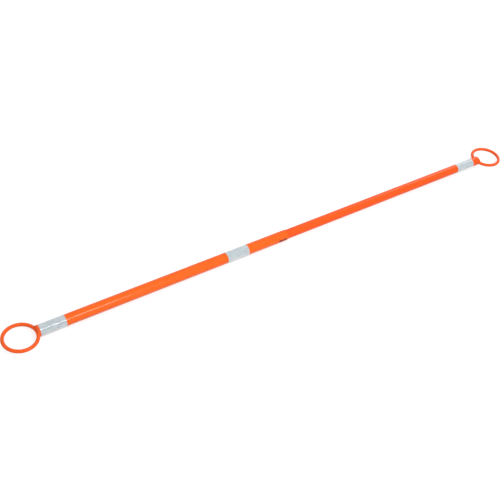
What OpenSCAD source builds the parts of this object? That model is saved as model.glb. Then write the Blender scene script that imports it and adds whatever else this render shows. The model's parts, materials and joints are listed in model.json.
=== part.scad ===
// Telescopic cone bar: two tubes that slide in each other, with a ring on each end that drops over a traffic cone.
// The left ring's centre is the origin, +X runs along the bar and +Z is square to the rings.
// The bar is drawn out to its full length, with the twist lock drawn tight.

/* [Tubes] */
// Outside diameter of the outer tube
outer_d = 38; // [36:0.5:42]
// Wall of the outer tube
outer_wall = 1.2; // [1.1:0.05:1.4]
// Length of the outer tube
outer_len = 942; // [700:1:1200]
// Outside diameter of the inner tube
inner_d = 34; // [32:0.1:34.2]
// Wall of the inner tube
inner_wall = 1.5; // [1:0.1:2.5]
// Length of the inner tube
inner_len = 1035; // [800:1:1300]

/* [Ring caps] */
// Bore of each ring
ring_bore_d = 97; // [80:1:120]
// Diameter of the rod that each ring is moulded from
ring_rod_d = 12; // [9:0.5:14]
// Depth of the flat land on the inside of each ring
ring_land_depth = 0.3; // [0.2:0.1:0.8]
// Length of each collar, from the ring's bore to the tube
collar_len = 12; // [9:0.5:40]
// How far the left collar's end stands back from the ring's bore
left_setback = 5.5; // [0.6:0.1:6]
// How far the right collar's end stands back from the ring's bore
right_setback = 0.6; // [0.6:0.1:6]
// Fillet round the end of each collar
collar_fillet = 1.5; // [0.5:0.5:1.8]
// Length of the plug that each collar sends into its tube
plug_len = 40; // [25:1:60]
// Wall of the hollow plug
plug_wall = 2.6; // [2:0.1:4]
// Crush ribs round each plug
plug_ribs = 6; // [3:1:10]

/* [Reflective bands] */
// Length of each band
band_len = 87; // [50:1:120]
// Thickness of the sheeting
band_t = 0.25; // [0.1:0.05:0.5]
// Distance from the outer tube's capped end to the left band
left_band_inset = 0.5; // [0.5:0.5:30]
// Distance from the outer tube's mouth back to the middle band
middle_band_back = 166; // [120:1:300]
// Distance from the inner tube's capped end back to the right band
right_band_inset = 25.5; // [0.5:0.5:40]

/* [Mouth bush] */
// Length of the sleeve inside the outer tube
bush_len = 70; // [40:1:100]
// Thickness of the flange over the tube's end
bush_flange_t = 2; // [1.5:0.1:4]
// Fillet on the flange's outer edge
bush_fillet = 0.8; // [0.4:0.1:1.4]

/* [Twist lock] */
// Thickness of the stop flange on the lock plug
stop_flange_t = 5; // [3:0.5:8]
// Diameter of the lock spindle
spindle_d = 8; // [6:0.5:10]
// Length of the split collet
collet_len = 34; // [28:1:45]
// Closed end of the collet, which turns on the spindle
collet_floor = 6; // [4:0.5:8]
// Wall of the collet where its fingers start
collet_root_wall = 6; // [5:0.5:7]
// Wall of the collet at the tips of its fingers
collet_tip_wall = 2.6; // [2:0.1:4]
// Fingers of the collet
collet_fingers = 4; // [3:1:6]
// Width of the slots between the fingers
collet_slot = 2.6; // [2:0.1:3.6]
// How far the wedge stands out of the collet
wedge_stand_out = 5; // [3:0.5:8]
// Travel of the wedge in one turn of the spindle
thread_pitch = 2; // [1:0.25:3]
// Thickness of the end washer
washer_t = 1.5; // [1:0.1:2.5]
// Diameter of the end washer
washer_d = 16; // [13:0.5:20]

/* [Hidden] */
$fn = 128;

// How far a cut runs past the face that it opens
overrun = 1;

// Clearances
glue_gap = 0.02;      // under a reflective band
seat_gap = 0.05;      // round a piece that is pressed or glued into a tube
slide_gap = 0.15;     // between the inner tube and the mouth bush
collet_gap = 0.3;     // between the released collet and the outer tube's bore
end_gap = 0.3;        // between two faces that turn on each other
stop_gap = 0.5;       // between the stop flange and the bush at full length
spindle_gap = 0.1;    // round the spindle
wedge_gap = 0.3;      // between the wedge and the collet's taper, along the bar

// Rings
bore_r = ring_bore_d / 2;
rod_r = ring_rod_d / 2;
ring_r = bore_r + rod_r - ring_land_depth;
root_swell = 1.2;       // thick end of the root that blends the rod into the collar
root_sink = 0.5;        // thin end, sunk into the rod
root_len = 16;

// Plugs
rib_r = 0.9;
plug_lead = 2;          // chamfer at the plug's free end
collar_seam = 0.6;      // chamfer that shows the seam against the tube

// Tubes
outer_r = outer_d / 2;
outer_bore_r = outer_r - outer_wall;
inner_r = inner_d / 2;
inner_bore_r = inner_r - inner_wall;

// Places along the bar
outer_x = bore_r + collar_len;
mouth_x = outer_x + outer_len;
bush_x = mouth_x - bush_len;
inner_x = bush_x - stop_gap;
inner_end_x = inner_x + inner_len;
right_ring_x = inner_end_x + collar_len + bore_r;
stop_x = inner_x - stop_flange_t;
collet_end_x = stop_x - end_gap;
collet_x = collet_end_x - collet_len;

// Lock
spindle_r = spindle_d / 2;
collet_r = outer_bore_r - collet_gap;
collet_hole_r = spindle_r + spindle_gap;
cavity_root_r = collet_r - collet_root_wall;
cavity_tip_r = collet_r - collet_tip_wall;
cavity_len = collet_len - collet_floor;
taper = (cavity_tip_r - cavity_root_r) / cavity_len;
slot_len_share = 0.86;          // of the cavity's length
grip_grooves = 4;
grip_groove_w = 1.6;
grip_groove_depth = 0.6;
wedge_len_share = 0.72;         // of the cavity's length, inside the collet
wedge_in = cavity_len * wedge_len_share;
wedge_len = wedge_in + wedge_stand_out;
wedge_key_gap = 0.25;           // on each side of a key in its slot
spindle_spare = 1.5;            // between the released wedge and the washer
spindle_len = end_gap + collet_len + wedge_stand_out + thread_pitch + spindle_spare;
spindle_end_x = stop_x - spindle_len;
screw_r = 2;
screw_gap = 0.1;
screw_head_r = 4.2;
screw_head_t = 2.6;
screw_len = 14;
screw_hole_len = screw_len + spindle_spare;
recess_r = 2;                   // six-sided recess in the screw's head
recess_depth = 1.4;
hex_sides = 6;

orange = "#ff6a24";
cap_orange = "#fb5f1d";
silver = "#c6d0d3";
lock_grey = "#50555a";
lock_black = "#26282b";
steel = "#b9bec4";

// Turns a shape that stands on Z so that it runs along the bar from x
module along_bar(x) {
    translate([x, 0, 0]) rotate([0, 90, 0]) children();
}

// Plain tube along Z
module pipe(r, bore, length) {
    difference() {
        cylinder(r = r, h = length);
        translate([0, 0, -overrun]) cylinder(r = bore, h = length + 2 * overrun);
    }
}

// Disc along Z whose edge at its foot is rounded
module rounded_disc(r, length, fillet) {
    cylinder(r = r - fillet, h = length);
    translate([0, 0, fillet]) cylinder(r = r, h = length - fillet);
    translate([0, 0, fillet]) rotate_extrude() translate([r - fillet, 0]) circle(r = fillet);
}

// Hollow plug along Z, with crush ribs that grip a tube's bore
module ribbed_plug(bore, length) {
    core_r = bore - seat_gap - rib_r;
    difference() {
        union() {
            cylinder(r = core_r, h = length - plug_lead);
            translate([0, 0, length - plug_lead])
                cylinder(r1 = core_r, r2 = core_r - plug_lead / 2, h = plug_lead);
            for (i = [0 : plug_ribs - 1])
                rotate([0, 0, 360 * i / plug_ribs]) translate([core_r, 0, 0])
                    cylinder(r = rib_r, h = length - plug_lead);
        }
        translate([0, 0, plug_wall]) cylinder(r = core_r - plug_wall, h = length);
    }
}

// Roots that blend the ring's rod into the sides of the collar
module ring_roots(collar_r) {
    for (side = [-1, 1])
        rotate([0, 0, side * asin(collar_r / ring_r)]) translate([ring_r, -side * root_len / 2, 0])
            rotate([-side * 90, 0, 0])
                cylinder(r1 = rod_r + root_swell, r2 = rod_r - root_sink, h = root_len);
}

// Ring, collar and plug in one moulding, with the ring's centre at the origin and the plug towards +X
module ring_cap(collar_r, setback, tube_bore) {
    collar_end_x = bore_r + setback;
    body_len = collar_len - setback;
    difference() {
        union() {
            difference() {
                union() {
                    along_bar(collar_end_x) rounded_disc(collar_r, body_len - collar_seam, collar_fillet);
                    along_bar(collar_end_x + body_len - collar_seam)
                        cylinder(r1 = collar_r, r2 = collar_r - collar_seam, h = collar_seam);
                    ring_roots(collar_r);
                }
                translate([0, 0, -collar_r - overrun])
                    cylinder(r = collar_end_x, h = 2 * (collar_r + overrun));
            }
            rotate_extrude() translate([ring_r, 0]) circle(r = rod_r);
            along_bar(bore_r + collar_len) ribbed_plug(tube_bore, plug_len);
        }
        translate([0, 0, -rod_r]) cylinder(r = bore_r, h = ring_rod_d);
    }
}

// Sheet of reflective tape round a tube
module band(tube_r) {
    pipe(tube_r + glue_gap + band_t, tube_r + glue_gap, band_len);
}

module outer_tube() {
    color(orange) along_bar(outer_x) pipe(outer_r, outer_bore_r, outer_len);
}

module mouth_bush() {
    hole_r = inner_r + slide_gap;
    color(orange) difference() {
        union() {
            along_bar(bush_x) cylinder(r = outer_bore_r - seat_gap, h = bush_len + bush_flange_t / 2);
            along_bar(mouth_x + bush_flange_t) mirror([0, 0, 1])
                rounded_disc(outer_r, bush_flange_t, bush_fillet);
        }
        along_bar(bush_x - overrun) cylinder(r = hole_r, h = bush_len + bush_flange_t + 2 * overrun);
    }
}

module left_ring_cap() {
    color(cap_orange) ring_cap(outer_r, left_setback, outer_bore_r);
}

module left_band() {
    color(silver) along_bar(outer_x + left_band_inset) band(outer_r);
}

module middle_band() {
    color(silver) along_bar(mouth_x - middle_band_back - band_len) band(outer_r);
}

module inner_tube() {
    color(orange) along_bar(inner_x) pipe(inner_r, inner_bore_r, inner_len);
}

module right_ring_cap() {
    color(cap_orange) translate([right_ring_x, 0, 0]) rotate([0, 0, 180])
        ring_cap(inner_r, right_setback, inner_bore_r);
}

module right_band() {
    color(silver) along_bar(inner_end_x - right_band_inset - band_len) band(inner_r);
}

// Plug in the inner tube's end, with the stop flange and the spindle that the wedge runs on
module lock_plug() {
    color(lock_grey) difference() {
        union() {
            along_bar(inner_x) ribbed_plug(inner_bore_r, plug_len);
            along_bar(stop_x) cylinder(r = outer_bore_r - collet_gap, h = stop_flange_t);
            along_bar(spindle_end_x) cylinder(r = spindle_r, h = spindle_len + stop_flange_t / 2);
        }
        along_bar(spindle_end_x - overrun) cylinder(r = screw_r + screw_gap, h = screw_hole_len + overrun);
    }
}

// Split sleeve that the wedge spreads against the outer tube's bore
module lock_collet() {
    slot_len = cavity_len * slot_len_share;
    pitch = cavity_len / (grip_grooves + 1);
    color(lock_black) difference() {
        along_bar(collet_x) cylinder(r = collet_r, h = collet_len);
        along_bar(collet_x - overrun) cylinder(r = collet_hole_r, h = collet_len + 2 * overrun);
        along_bar(collet_x - overrun)
            cylinder(r1 = cavity_tip_r + taper * overrun, r2 = cavity_root_r, h = cavity_len + overrun);
        for (i = [0 : collet_fingers - 1])
            rotate([360 * i / collet_fingers, 0, 0])
                translate([collet_x - overrun, -collet_slot / 2, collet_hole_r])
                    cube([slot_len + overrun, collet_slot, collet_r]);
        for (i = [1 : grip_grooves])
            along_bar(collet_x + i * pitch - grip_groove_w / 2)
                pipe(collet_r + overrun, collet_r - grip_groove_depth, grip_groove_w);
    }
}

// Tapered nut that the spindle draws into the collet, kept from turning by keys in the collet's slots
module lock_wedge() {
    tip_x = collet_x + wedge_in;
    large_r = cavity_tip_r - taper * wedge_gap;
    small_r = large_r - taper * wedge_in;
    key_w = collet_slot - 2 * wedge_key_gap;
    key_r = collet_r - collet_tip_wall / 2;
    color(lock_grey) difference() {
        union() {
            along_bar(collet_x) cylinder(r1 = large_r, r2 = small_r, h = wedge_in);
            along_bar(tip_x - wedge_len) cylinder(r = large_r, h = wedge_stand_out);
            for (i = [0 : collet_fingers - 1])
                rotate([360 * i / collet_fingers, 0, 0])
                    translate([tip_x - wedge_len, -key_w / 2, collet_hole_r])
                        cube([wedge_len - wedge_stand_out, key_w, key_r - collet_hole_r]);
        }
        along_bar(tip_x - wedge_len - overrun) cylinder(r = collet_hole_r, h = wedge_len + 2 * overrun);
    }
}

module lock_washer() {
    color(steel) along_bar(spindle_end_x - washer_t) pipe(washer_d / 2, screw_r + screw_gap, washer_t);
}

module lock_screw() {
    head_x = spindle_end_x - washer_t - screw_head_t;
    color(steel) difference() {
        union() {
            along_bar(head_x) rounded_disc(screw_head_r, screw_head_t, screw_head_t / 3);
            along_bar(head_x) cylinder(r = screw_r, h = screw_head_t + screw_len);
        }
        along_bar(head_x - overrun) cylinder(r = recess_r, h = recess_depth + overrun, $fn = hex_sides);
    }
}

outer_tube();
mouth_bush();
left_ring_cap();
left_band();
middle_band();
inner_tube();
right_ring_cap();
right_band();
lock_plug();
lock_collet();
lock_wedge();
lock_washer();
lock_screw();
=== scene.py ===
import json
import math

import bpy
import numpy as np
from mathutils import Matrix, Vector


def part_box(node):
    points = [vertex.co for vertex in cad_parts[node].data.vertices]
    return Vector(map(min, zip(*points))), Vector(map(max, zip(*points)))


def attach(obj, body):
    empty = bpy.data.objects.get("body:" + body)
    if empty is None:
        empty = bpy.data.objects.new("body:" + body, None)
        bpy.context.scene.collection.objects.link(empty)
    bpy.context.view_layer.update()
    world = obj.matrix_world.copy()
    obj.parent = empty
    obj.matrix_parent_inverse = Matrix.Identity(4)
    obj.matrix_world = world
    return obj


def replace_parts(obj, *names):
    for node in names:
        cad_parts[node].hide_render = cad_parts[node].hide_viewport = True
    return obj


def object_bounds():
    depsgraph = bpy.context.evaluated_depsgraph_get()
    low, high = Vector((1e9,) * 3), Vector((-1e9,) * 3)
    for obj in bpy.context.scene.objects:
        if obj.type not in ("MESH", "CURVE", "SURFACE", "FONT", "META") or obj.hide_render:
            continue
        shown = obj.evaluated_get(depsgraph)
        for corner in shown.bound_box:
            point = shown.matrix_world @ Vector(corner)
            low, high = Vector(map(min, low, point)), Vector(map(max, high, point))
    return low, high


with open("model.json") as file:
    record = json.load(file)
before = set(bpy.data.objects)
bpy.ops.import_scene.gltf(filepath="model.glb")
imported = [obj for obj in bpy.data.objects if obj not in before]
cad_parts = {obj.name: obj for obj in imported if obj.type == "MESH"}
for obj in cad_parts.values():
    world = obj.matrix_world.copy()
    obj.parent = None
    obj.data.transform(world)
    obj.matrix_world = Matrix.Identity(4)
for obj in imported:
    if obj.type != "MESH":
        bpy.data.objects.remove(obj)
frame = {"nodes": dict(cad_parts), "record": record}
cad_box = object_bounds()
nodes = frame["nodes"]
scene = bpy.context.scene


def radius_of(node):
    """Greatest distance of a node's surface from the bar's axis."""
    return max(math.hypot(vertex.co.y, vertex.co.z) for vertex in nodes[node].data.vertices)


# Units: lengths in metres, angles in radians, colours linear
MM = 0.001
FULL_TURN = 2 * math.pi

# Bar, from the frame
OUTER_R = radius_of("outer_tube")
INNER_R = radius_of("inner_tube")
MOUTH_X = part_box("mouth_bush")[1].x
FLOOR_Z = cad_box[0].z

# Ring caps, each in its own frame with the ring's centre at the origin and the tube towards +X.
# A turn gives the sign of each axis, and a setback is how far the collar stands back from the bore.
LEFT_RING, RIGHT_RING = (Vector(mount["pos_m"]) for mount in frame["record"]["mounts"])
LEFT_TURN = (1, 1, 1)
RIGHT_TURN = (-1, -1, 1)
BORE_R = frame["record"]["mounts"][0]["dims"]["r_mm"] * MM
ROD_R = 6 * MM
RING_R = -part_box("left_ring_cap")[0].x - ROD_R
COLLAR_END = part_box("outer_tube")[0].x
LEFT_SETBACK = 5.5 * MM
RIGHT_SETBACK = 0.6 * MM
LEFT_PLUG_R = 16.8 * MM
RIGHT_PLUG_R = 14.5 * MM
COLLAR_ROUND = 0.6 * MM
COLLAR_BLEND = 3 * MM
ROD_BLEND = 4 * MM
LAND_BLEND = 0.4 * MM
SEAM_HALF_WIDTH = 0.5 * MM

# Mesh of the ring caps: even cells, relaxed and then drawn onto the smooth surface
CAP_VOXEL = 0.8 * MM
CAP_RELAX_PASSES = 3
CAP_DRAW_PASSES = 6
SLOPE_PROBE = 0.01 * MM
LEAST_SLOPE = 0.25

# Reflective tape: the sheet takes most of the band's thickness, over a thin layer of glue
TAPE_LAP = 9 * MM
TAPE_SHARE = 0.9
TAPE_GLUE = 0.02 * MM
TAPE_STEPS = 145
TAPE_CORNERS = 4
TAPE_SHARP_ANGLE = math.radians(40)
TAPE_CELL = 3.4 * MM
TAPE_WALL = 0.5 * MM
TAPE_CREST = TAPE_WALL / 3
TAPE_DIRT_WIDTH = 0.4 * MM

# Slide arrow on the outer tube; its shaft and heads are shares of half its length and height
ARROW_LENGTH = 37 * MM
ARROW_HEIGHT = 13 * MM
ARROW_TO_MOUTH = 6 * MM
ARROW_ANGLE = math.radians(183)
SHAFT_REACH = 0.6
SHAFT_HEIGHT = 0.5
HEAD_START = 0.55
HEAD_SLOPE = 2.2

# Camera of the photograph, in the part's frame
CAMERA_AT = (-0.5351, -1.7223, 2.0680)
CAMERA_LOOKS_AT = (0.8462, -0.0064, 0.0)
CAMERA_ROLL = math.radians(7.58)
SENSOR = 36.0
LENS = 61.92

# Floor and room
FLOOR_SIZE = 30.0
FLOOR_CENTRE = (1.0, 0, FLOOR_Z)
FLOOR_GLOW = 0.70
# Reach of the painted contact shadow that darkens the floor's glow close under the bar
PAINTED_SHADOW_REACH = 4 * MM
ROOM_LIGHT = 0.70
ROOM_SHOWN = 1.0

# Colours
WHITE = (1, 1, 1, 1)
FLOOR_GREY = (0.40, 0.40, 0.40, 1)
# Painted orange bounce light: the colour the floor's painted contact shadow turns to
PAINTED_BOUNCE = (0.38, 0.09, 0.01, 1)
ORANGE = (0.96, 0.132, 0.0075, 1)
ORANGE_DEEP = (0.88, 0.105, 0.005, 1)
ORANGE_PALE = (1.0, 0.27, 0.09, 1)
INNER_ORANGE = (0.95, 0.098, 0.0050, 1)
INNER_DEEP = (0.87, 0.077, 0.0035, 1)
CAP_ORANGE = (0.90, 0.110, 0.0075, 1)
CAP_DEEP = (0.78, 0.080, 0.0045, 1)
INK = (0.15, 0.008, 0.001, 1)
SILVER = (0.465, 0.525, 0.545, 1)
SILVER_PALE = (0.69, 0.75, 0.775, 1)
SILVER_DARK = (0.37, 0.43, 0.46, 1)
LAP_DIRT = (0.12, 0.12, 0.11, 1)
LOCK_GREY = (0.085, 0.095, 0.105, 1)
LOCK_BLACK = (0.012, 0.013, 0.015, 1)
LOCK_STEEL = (0.56, 0.57, 0.58, 1)

# The lock's grain takes its colours down to this share
LOCK_DARKER = 0.7

# Patterns of noise, in counts per metre along X, Y and Z
DRAW_LINES = (5, 1100, 1100)
FINE_LINES = (14, 3200, 3200)
RUB_LINES = (3, 1700, 1700)
TUBE_CLOUDS = (7, 30, 30)
SCUFFS = (38, 420, 420)
SCUFF_PATCHES = (11, 60, 60)
PRINT_SPECKS = (260, 900, 900)
CAP_GRAIN = (1500, 1500, 1500)
CAP_FLOW = (55, 55, 120)
CAP_KNOCKS = (210, 210, 210)
TAPE_BEADS = (5200, 5200, 5200)
TAPE_CLOUDS = (60, 120, 120)
LOCK_GRAIN = (900, 900, 900)

# How strongly a noise keeps its fine detail
SOFT = 0.55
CRISP = 0.7

# Limits between which a pattern comes up; the swing is where most noise lies
SWING = (0.3, 0.7)
DRAW_LIMITS = (0.45, 0.8)
DRAW_ROUGH_LIMITS = (0.3, 0.8)
RUB_LIMITS = (0.60, 0.75)
SCUFF_LIMITS = (0.61, 0.74)
PATCH_LIMITS = (0.42, 0.62)
SPECK_LIMITS = (0.22, 0.36)
FLOW_LIMITS = (0.3, 0.75)
KNOCK_LIMITS = (0.63, 0.74)
BEAD_LIMITS = (0.45, 0.7)
LOCK_LIMITS = (0.35, 0.75)

# Share of one colour that a pattern lays over another
TUBE_CLOUD_SHARE = 0.28
DRAW_SHARE = 0.16
SCUFF_SHARE = 0.35
RUB_SHARE = 0.22
FLOW_SHARE = 0.4
KNOCK_SHARE = 0.3
SEAM_SHARE = 0.25
TAPE_CLOUD_SHARE = 0.5
BEAD_SHARE = 0.35
WALL_SHARE = 0.45
DIRT_SHARE = 0.7

# Relief: depth and strength of each bump
DRAW_BUMP = (0.02 * MM, 0.3)
FINE_BUMP = (0.01 * MM, 0.25)
SCUFF_BUMP = (-0.02 * MM, 0.4)
GRAIN_BUMP = (0.04 * MM, 0.4)
FLOW_BUMP = (0.15 * MM, 0.25)
SEAM_BUMP = (0.1 * MM, 0.6)
WALL_BUMP = (0.06 * MM, 0.4)
BEAD_BUMP = (0.02 * MM, 0.3)

# Gloss: roughness, how far a pattern changes it, and how strongly a surface reflects
OUTER_ROUGH = 0.155
INNER_ROUGH = 0.28
DRAW_ROUGH = 0.07
WEAR_ROUGH = 0.4
CAP_ROUGH = (0.34, 0.44)
KNOCK_ROUGH = 0.15
BEAD_ROUGH = (0.30, 0.42)
WIDE_FILM_ROUGH = 0.10
SLIM_FILM_ROUGH = 0.28
LOCK_PLASTIC_ROUGH = 0.5
LOCK_STEEL_ROUGH = 0.32
LOCK_GRAIN_ROUGH = 0.08
PLASTIC_IOR = 1.49
FILM_IOR = 1.37
TUBE_SPECULAR = 0.21
CAP_SPECULAR = 0.25
BEAD_SPECULAR = 0.05
BEAD_DIFFUSE_ROUGH = 1.0
BEAD_SHEEN = 0.4
BEAD_SHEEN_ROUGH = 0.35
FILM_WEIGHT = 1.0


class Graph:
    """A node tree of a material or the world, built call by call."""

    def __init__(self, tree):
        self.tree = tree

    def add(self, kind, **settings):
        node = self.tree.nodes.new(kind)
        for key, value in settings.items():
            setattr(node, key, value)
        return node

    def put(self, socket, value):
        """Link a socket into this one, or set this one to a plain value."""
        if isinstance(value, bpy.types.NodeSocket):
            self.tree.links.new(value, socket)
        else:
            socket.default_value = value

    def math(self, operation, *values, clamp=False):
        node = self.add("ShaderNodeMath", operation=operation, use_clamp=clamp)
        for socket, value in zip(node.inputs, values):
            self.put(socket, value)
        return node.outputs[0]

    def span(self, value, limits, to=(0.0, 1.0)):
        """Smooth step between the two limits, mapped to the two outputs."""
        node = self.add("ShaderNodeMapRange", interpolation_type="SMOOTHSTEP")
        for key, item in zip(("Value", "From Min", "From Max", "To Min", "To Max"), (value, *limits, *to)):
            self.put(node.inputs[key], item)
        return node.outputs[0]

    def mix(self, share, a, b):
        """Colour a, with a share of colour b laid over it."""
        node = self.add("ShaderNodeMix", data_type="RGBA")
        # The sockets for colours come after those for numbers and vectors
        factor, first, second, result = node.inputs[0], node.inputs[6], node.inputs[7], node.outputs[2]
        self.put(factor, share)
        self.put(first, a)
        self.put(second, b)
        return result

    def shown(self):
        """1 on rays that show the background: straight to the camera, mirrored or through glass."""
        rays = self.add("ShaderNodeLightPath").outputs
        seen = self.math("ADD", rays["Is Camera Ray"], rays["Is Glossy Ray"])
        return self.math("ADD", seen, rays["Is Transmission Ray"], clamp=True)


class Surface(Graph):
    """A material round its Principled shader, with patterns in the part's own coordinates."""

    def __init__(self, name):
        self.material = bpy.data.materials.new(name)
        self.material.use_nodes = True
        super().__init__(self.material.node_tree)
        self.place = self.add("ShaderNodeTexCoord").outputs["Object"]
        split = self.add("ShaderNodeSeparateXYZ")
        self.put(split.inputs[0], self.place)
        self.x, self.y, self.z = split.outputs

    def noise(self, scale, detail=3.0, rough=SOFT, shift=(0, 0, 0)):
        """Noise with the given counts per metre; a shift sets it apart from the others."""
        stretch = self.add("ShaderNodeMapping")
        self.put(stretch.inputs["Vector"], self.place)
        self.put(stretch.inputs["Scale"], scale)
        self.put(stretch.inputs["Location"], shift)
        node = self.add("ShaderNodeTexNoise")
        self.put(node.inputs["Vector"], stretch.outputs[0])
        self.put(node.inputs["Scale"], 1.0)
        self.put(node.inputs["Detail"], detail)
        self.put(node.inputs["Roughness"], rough)
        return node.outputs[0]

    def bump(self, height, depth, strength, under=None):
        """Normal of a relief, on top of another one where that is given."""
        node = self.add("ShaderNodeBump")
        self.put(node.inputs["Height"], height)
        self.put(node.inputs["Distance"], depth)
        self.put(node.inputs["Strength"], strength)
        if under is not None:
            self.put(node.inputs["Normal"], under)
        return node.outputs[0]

    def around(self, start=0.0):
        """Angle round the bar, from start to one full turn later, with 0 on the +Y side."""
        angle = self.math("ARCTAN2", self.z, self.y)
        return self.math("WRAP", angle, start + FULL_TURN, start)

    def set_shader(self, **sockets):
        """Set the shader's sockets, named with _ for each space, and hand over the material."""
        shader = self.tree.nodes["Principled BSDF"]
        for key, value in sockets.items():
            self.put(shader.inputs[key.replace("_", " ")], value)
        return self.material


def arrow_mask(g):
    """1 on the double-headed slide arrow, on the front of the outer tube beside its mouth."""
    half_length = ARROW_LENGTH / 2
    half_angle = ARROW_HEIGHT / 2 / OUTER_R
    centre_x = MOUTH_X - ARROW_TO_MOUTH - half_length
    along = g.math("SUBTRACT", g.x, centre_x)
    turn = g.math("SUBTRACT", g.around(), ARROW_ANGLE)
    u = g.math("ABSOLUTE", g.math("DIVIDE", along, half_length))
    v = g.math("ABSOLUTE", g.math("DIVIDE", turn, half_angle))
    shaft = g.math("MULTIPLY", g.math("LESS_THAN", u, SHAFT_REACH), g.math("LESS_THAN", v, SHAFT_HEIGHT))
    slope = g.math("MULTIPLY", g.math("SUBTRACT", 1.0, u), HEAD_SLOPE)
    head = g.math("MULTIPLY", g.math("LESS_THAN", v, slope), g.math("GREATER_THAN", u, HEAD_START))
    head = g.math("MULTIPLY", head, g.math("LESS_THAN", v, 1.0))
    return g.math("MAXIMUM", shaft, head)


def tube_material(name, base=ORANGE, deep=ORANGE_DEEP, rough=OUTER_ROUGH, arrow=False, rubbed=False):
    """Extruded orange pipe: faint draw lines, a slow change of shade and light scuffs."""
    g = Surface(name)
    draw = g.noise(DRAW_LINES, detail=4.0)
    fine = g.noise(FINE_LINES, detail=2.0, shift=(3, 1, 7))
    cloud = g.noise(TUBE_CLOUDS, detail=2.0)
    scuff = g.span(g.noise(SCUFFS, detail=5.0, rough=CRISP, shift=(9, 4, 2)), SCUFF_LIMITS)
    scuff = g.math("MULTIPLY", scuff, g.span(g.noise(SCUFF_PATCHES), PATCH_LIMITS))
    wear = g.math("MULTIPLY", scuff, SCUFF_SHARE)
    if rubbed:
        track = g.noise(RUB_LINES, detail=2.0, shift=(5, 5, 1))
        wear = g.math("ADD", wear, g.span(track, RUB_LIMITS, to=(0, RUB_SHARE)), clamp=True)
    shade = g.mix(g.span(cloud, SWING, to=(TUBE_CLOUD_SHARE, 0)), base, deep)
    shade = g.mix(g.span(draw, DRAW_LIMITS, to=(0, DRAW_SHARE)), shade, deep)
    shade = g.mix(wear, shade, ORANGE_PALE)
    if arrow:
        worn = g.span(g.noise(PRINT_SPECKS, detail=4.0, rough=CRISP), SPECK_LIMITS)
        shade = g.mix(g.math("MULTIPLY", arrow_mask(g), worn), shade, INK)
    gloss = g.span(draw, DRAW_ROUGH_LIMITS, to=(rough, rough + DRAW_ROUGH))
    gloss = g.math("ADD", gloss, g.math("MULTIPLY", wear, WEAR_ROUGH))
    normal = g.bump(draw, *DRAW_BUMP)
    normal = g.bump(fine, *FINE_BUMP, under=normal)
    normal = g.bump(scuff, *SCUFF_BUMP, under=normal)
    return g.set_shader(Base_Color=shade, Roughness=gloss, Normal=normal,
                        IOR=PLASTIC_IOR, Specular_IOR_Level=TUBE_SPECULAR)


def cap_material(name):
    """Moulded orange plastic: fine spark texture, flow marks, rubbed high spots and a mould seam."""
    g = Surface(name)
    grain = g.noise(CAP_GRAIN)
    flow = g.noise(CAP_FLOW, shift=(2, 8, 3))
    knocks = g.span(g.noise(CAP_KNOCKS, detail=5.0, rough=CRISP), KNOCK_LIMITS)
    seam = g.span(g.math("ABSOLUTE", g.z), (0, SEAM_HALF_WIDTH), to=(1, 0))
    shade = g.mix(g.span(flow, FLOW_LIMITS, to=(0, FLOW_SHARE)), CAP_ORANGE, CAP_DEEP)
    shade = g.mix(g.math("MULTIPLY", knocks, KNOCK_SHARE), shade, ORANGE_PALE)
    shade = g.mix(g.math("MULTIPLY", seam, SEAM_SHARE), shade, ORANGE_PALE)
    gloss = g.span(grain, SWING, to=CAP_ROUGH)
    gloss = g.math("ADD", gloss, g.math("MULTIPLY", knocks, KNOCK_ROUGH))
    normal = g.bump(grain, *GRAIN_BUMP)
    normal = g.bump(flow, *FLOW_BUMP, under=normal)
    normal = g.bump(seam, *SEAM_BUMP, under=normal)
    return g.set_shader(Base_Color=shade, Roughness=gloss, Normal=normal,
                        IOR=PLASTIC_IOR, Specular_IOR_Level=CAP_SPECULAR)


def hexagon_wall(g, across, along):
    """1 on the walls of the tape's honeycomb, whose cells are measured from flat to flat."""
    half_cell = TAPE_CELL / 2
    half_row = half_cell * math.sqrt(3)

    def to_centre(shift):
        u = g.math("PINGPONG", g.math("ADD", across, shift * half_cell), half_cell)
        v = g.math("PINGPONG", g.math("ADD", along, shift * half_row), half_row)
        slant = g.math("ADD", g.math("MULTIPLY", u, 1 / 2), g.math("MULTIPLY", v, math.sqrt(3) / 2))
        return g.math("MAXIMUM", u, slant)

    reach = g.math("MINIMUM", to_centre(0), to_centre(1))
    return g.span(reach, (half_cell - TAPE_WALL, half_cell - TAPE_CREST))


def tape_material(name, radius, film_rough):
    """Retro-reflective sheeting: sealed hexagon cells of glass beads under a clear film."""
    g = Surface(name)
    lap_edge = TAPE_LAP / 2
    arc = g.math("MULTIPLY", g.around(lap_edge / radius), radius)
    wall = hexagon_wall(g, arc, g.x)
    beads = g.noise(TAPE_BEADS, detail=2.0)
    cloud = g.noise(TAPE_CLOUDS)
    dirt = g.span(arc, (lap_edge, lap_edge + TAPE_DIRT_WIDTH), to=(DIRT_SHARE, 0))
    shade = g.mix(g.span(cloud, SWING, to=(0, TAPE_CLOUD_SHARE)), SILVER, SILVER_PALE)
    shade = g.mix(g.span(beads, BEAD_LIMITS, to=(0, BEAD_SHARE)), shade, SILVER_DARK)
    shade = g.mix(g.math("MULTIPLY", wall, WALL_SHARE), shade, SILVER_PALE)
    shade = g.mix(dirt, shade, LAP_DIRT)
    gloss = g.span(beads, SWING, to=BEAD_ROUGH)
    normal = g.bump(wall, *WALL_BUMP)
    normal = g.bump(beads, *BEAD_BUMP, under=normal)
    return g.set_shader(Base_Color=shade, Roughness=gloss, Normal=normal,
                        Specular_IOR_Level=BEAD_SPECULAR, Diffuse_Roughness=BEAD_DIFFUSE_ROUGH,
                        Sheen_Weight=BEAD_SHEEN, Sheen_Roughness=BEAD_SHEEN_ROUGH,
                        Coat_Weight=FILM_WEIGHT, Coat_Roughness=film_rough, Coat_IOR=FILM_IOR)


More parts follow.
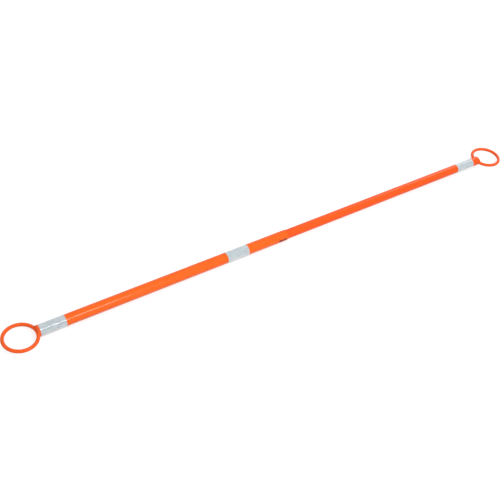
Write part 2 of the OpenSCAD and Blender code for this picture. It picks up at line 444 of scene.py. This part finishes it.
def lock_material(name, base, rough=LOCK_PLASTIC_ROUGH, metallic=0.0):
    """Plain moulded or plated finish for the lock inside the bar."""
    g = Surface(name)
    grain = g.noise(LOCK_GRAIN)
    red, green, blue, alpha = base
    dark = (red * LOCK_DARKER, green * LOCK_DARKER, blue * LOCK_DARKER, alpha)
    shade = g.mix(g.span(grain, LOCK_LIMITS), base, dark)
    gloss = g.span(grain, SWING, to=(rough - LOCK_GRAIN_ROUGH, rough + LOCK_GRAIN_ROUGH))
    normal = g.bump(grain, *GRAIN_BUMP)
    return g.set_shader(Base_Color=shade, Roughness=gloss, Normal=normal, Metallic=metallic)


def floor_material(name):
    """Pale floor that shows as white and still takes the bar's shadow; close under the bar its glow has a
    painted contact shadow, tinted orange as painted bounce light.
    """
    material = bpy.data.materials.new(name)
    material.use_nodes = True
    g = Graph(material.node_tree)
    g.tree.nodes.remove(g.tree.nodes["Principled BSDF"])
    diffuse = g.add("ShaderNodeBsdfDiffuse")
    g.put(diffuse.inputs["Color"], FLOOR_GREY)
    # Painted shadow: ambient occlusion darkens the glow close under the bar, towards the painted orange
    # bounce colour
    painted_contact_shadow = g.add("ShaderNodeAmbientOcclusion")
    g.put(painted_contact_shadow.inputs["Distance"], PAINTED_SHADOW_REACH)
    glow = g.add("ShaderNodeEmission")
    g.put(glow.inputs["Color"], g.mix(painted_contact_shadow.outputs["AO"], PAINTED_BOUNCE, WHITE))
    g.put(glow.inputs["Strength"], g.math("MULTIPLY", g.shown(), FLOOR_GLOW))
    both = g.add("ShaderNodeAddShader")
    g.put(both.inputs[0], diffuse.outputs[0])
    g.put(both.inputs[1], glow.outputs[0])
    g.put(g.tree.nodes["Material Output"].inputs["Surface"], both.outputs[0])
    return material


def smooth_min(a, b, width):
    """The lesser of two distances, blended where they are within width of each other."""
    share = np.clip(0.5 + 0.5 * (b - a) / width, 0, 1)
    return b + (a - b) * share - width * share * (1 - share)


def smooth_max(a, b, width):
    return -smooth_min(-a, -b, width)


def cap_distance(points, collar_r, setback, plug_r):
    """Signed distance to a ring cap: rod and collar flow into each other, and the bore has a flat land."""
    x, y, z = points.T
    around_ring = np.hypot(x, y)
    around_bar = np.hypot(y, z)
    rod = np.hypot(around_ring - RING_R, z) - ROD_R
    side = around_bar - collar_r + COLLAR_ROUND
    end = x - COLLAR_END + COLLAR_ROUND
    collar = np.minimum(np.maximum(side, end), 0)
    collar = collar + np.hypot(np.maximum(side, 0), np.maximum(end, 0)) - COLLAR_ROUND
    collar = smooth_max(collar, BORE_R + setback - around_ring, COLLAR_BLEND)
    collar = np.where(x > 0, collar, RING_R)
    plug = np.maximum(around_bar - plug_r, RING_R - x)
    body = np.minimum(smooth_min(rod, collar, ROD_BLEND), plug)
    return smooth_max(body, BORE_R - around_ring, LAND_BLEND)


def cap_slope(points, **sizes):
    """Gradient of cap_distance, by differences."""
    columns = []
    for axis in np.eye(3):
        ahead = cap_distance(points + SLOPE_PROBE * axis, **sizes)
        behind = cap_distance(points - SLOPE_PROBE * axis, **sizes)
        columns.append((ahead - behind) / (2 * SLOPE_PROBE))
    return np.stack(columns, 1)


def drawn_to_cap(points, **sizes):
    """The points, moved along the slope onto the cap's surface."""
    for _ in range(CAP_DRAW_PASSES):
        slope = cap_slope(points, **sizes)
        reach = cap_distance(points, **sizes) / np.maximum((slope ** 2).sum(1), LEAST_SLOPE)
        points = points - slope * reach[:, None]
    return points


def even_mesh(piece):
    """Mesh of a piece with even, relaxed cells."""
    remesh = piece.modifiers.new("even", "REMESH")
    remesh.mode = "VOXEL"
    remesh.voxel_size = CAP_VOXEL
    relax = piece.modifiers.new("relax", "SMOOTH")
    relax.iterations = CAP_RELAX_PASSES
    shaped = piece.evaluated_get(bpy.context.evaluated_depsgraph_get())
    mesh = bpy.data.meshes.new_from_object(shaped)
    piece.modifiers.clear()
    return mesh


def moulded_cap(node, body, centre, turn, **sizes):
    """Ring cap with moulded fillets: an even mesh of the node, drawn onto the smooth surface."""
    piece = bpy.data.objects.new(node + "_moulded", nodes[node].data.copy())
    scene.collection.objects.link(piece)
    mesh = even_mesh(piece)
    piece.data = mesh
    places = np.empty(3 * len(mesh.vertices))
    mesh.vertices.foreach_get("co", places)
    places = (places.reshape(-1, 3) - centre) * turn
    # The plug, inside the tube, stays as the even mesh has it
    outside = places[:, 0] < COLLAR_END
    places[outside] = drawn_to_cap(places[outside], **sizes)
    mesh.vertices.foreach_set("co", (places * turn + centre).ravel())
    mesh.shade_smooth()
    mesh.update()
    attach(piece, body)
    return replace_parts(piece, node)


def wrapped_band(node, body, tube_r):
    """Sheet of tape wound once round a tube, its end lapped over its start on the far side of the bar."""
    low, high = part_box(node)
    sheet_t = TAPE_SHARE * (high.z - tube_r)
    lap = TAPE_LAP / tube_r
    turns = np.linspace(-lap / 2, FULL_TURN + lap / 2, TAPE_STEPS)
    # The end climbs over the start's edge, from just before the lap
    climb = np.clip((turns - FULL_TURN + lap) / (lap / 2), 0, 1)
    feet = tube_r + TAPE_GLUE + sheet_t * climb * climb * (3 - 2 * climb)
    points = []
    for turn, foot in zip(turns, feet):
        top = foot + sheet_t
        for radius, x in ((foot, low.x), (foot, high.x), (top, high.x), (top, low.x)):
            points.append((x, radius * math.cos(turn), radius * math.sin(turn)))
    last = len(points) - TAPE_CORNERS
    faces = [tuple(reversed(range(TAPE_CORNERS))), tuple(range(last, len(points)))]
    for start in range(0, last, TAPE_CORNERS):
        for corner in range(TAPE_CORNERS):
            a = start + corner
            b = start + (corner + 1) % TAPE_CORNERS
            faces.append((a, b, b + TAPE_CORNERS, a + TAPE_CORNERS))
    mesh = bpy.data.meshes.new(node + "_sheet")
    mesh.from_pydata(points, [], faces)
    mesh.shade_smooth()
    mesh.set_sharp_from_angle(angle=TAPE_SHARP_ANGLE)
    piece = bpy.data.objects.new(node + "_sheet", mesh)
    scene.collection.objects.link(piece)
    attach(piece, body)
    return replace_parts(piece, node)


def paint(material, *pieces):
    for piece in pieces:
        piece.data.materials.clear()
        piece.data.materials.append(material)


def light_room():
    """An even white room, a little dimmer as a light than it shows."""
    world = bpy.data.worlds.new("white_room")
    world.use_nodes = True
    g = Graph(world.node_tree)
    background = g.tree.nodes["Background"]
    g.put(background.inputs["Color"], WHITE)
    g.put(background.inputs["Strength"], g.span(g.shown(), (0, 1), to=(ROOM_LIGHT, ROOM_SHOWN)))
    scene.world = world


def aim(at, towards):
    """Turn that points a lamp or camera from one place to another."""
    return (Vector(towards) - Vector(at)).to_track_quat("-Z", "Y")


def softbox(name, at, towards, size, power, mirrored=True):
    """Rectangular lamp; one that isn't mirrored leaves no highlight."""
    lamp = bpy.data.lights.new(name, "AREA")
    lamp.shape = "RECTANGLE"
    lamp.size, lamp.size_y = size
    lamp.energy = power
    box = bpy.data.objects.new(name, lamp)
    scene.collection.objects.link(box)
    box.location = at
    box.rotation_euler = aim(at, towards).to_euler()
    box.visible_glossy = mirrored


# Tubes
paint(tube_material("outer_pipe", arrow=True), nodes["outer_tube"])
paint(tube_material("bush_plastic"), nodes["mouth_bush"])
paint(tube_material("inner_pipe", INNER_ORANGE, INNER_DEEP, INNER_ROUGH, rubbed=True), nodes["inner_tube"])

# Ring caps
left_cap = moulded_cap("left_ring_cap", "outer", LEFT_RING, LEFT_TURN,
                       collar_r=OUTER_R, setback=LEFT_SETBACK, plug_r=LEFT_PLUG_R)
right_cap = moulded_cap("right_ring_cap", "inner", RIGHT_RING, RIGHT_TURN,
                        collar_r=INNER_R, setback=RIGHT_SETBACK, plug_r=RIGHT_PLUG_R)
paint(cap_material("cap_plastic"), left_cap, right_cap)

# Reflective bands
tape_wide = tape_material("tape_wide", OUTER_R, WIDE_FILM_ROUGH)
tape_slim = tape_material("tape_slim", INNER_R, SLIM_FILM_ROUGH)
paint(tape_wide, wrapped_band("left_band", "outer", OUTER_R), wrapped_band("middle_band", "outer", OUTER_R))
paint(tape_slim, wrapped_band("right_band", "inner", INNER_R))

# Lock
paint(lock_material("lock_grey_plastic", LOCK_GREY), nodes["lock_plug"], nodes["lock_wedge"])
paint(lock_material("lock_black_plastic", LOCK_BLACK), nodes["lock_collet"])
plated_steel = lock_material("lock_plated_steel", LOCK_STEEL, LOCK_STEEL_ROUGH, metallic=1.0)
paint(plated_steel, nodes["lock_washer"], nodes["lock_screw"])

# Floor
bpy.ops.mesh.primitive_plane_add(size=FLOOR_SIZE, location=FLOOR_CENTRE)
floor = bpy.context.object
floor.name = "floor"
paint(floor_material("floor_white"), floor)

# Light
light_room()
softbox("key", at=(0.88, -1.75, 2.1), towards=(0.9, 0, 0), size=(0.70, 0.28), power=27)
softbox("rim", at=(3.66, 1.15, 1.95), towards=(1.8, 0, 0), size=(0.25, 1.5), power=19)
softbox("fill", at=(0.95, -2.6, 0.55), towards=(0.95, 0, 0), size=(1.7, 0.9), power=15, mirrored=False)
softbox("side", at=(-2.6, -0.5, 0.9), towards=(0, 0, 0), size=(0.8, 0.8), power=6, mirrored=False)

# Camera
camera = bpy.data.objects.new("camera", bpy.data.cameras.new("camera"))
scene.collection.objects.link(camera)
camera.data.lens = LENS
camera.data.sensor_width = SENSOR
pointed = aim(CAMERA_AT, CAMERA_LOOKS_AT).to_matrix().to_4x4()
camera.matrix_world = Matrix.Translation(CAMERA_AT) @ pointed @ Matrix.Rotation(CAMERA_ROLL, 4, "Z")
scene.camera = camera
scene.view_settings.view_transform = "Standard"
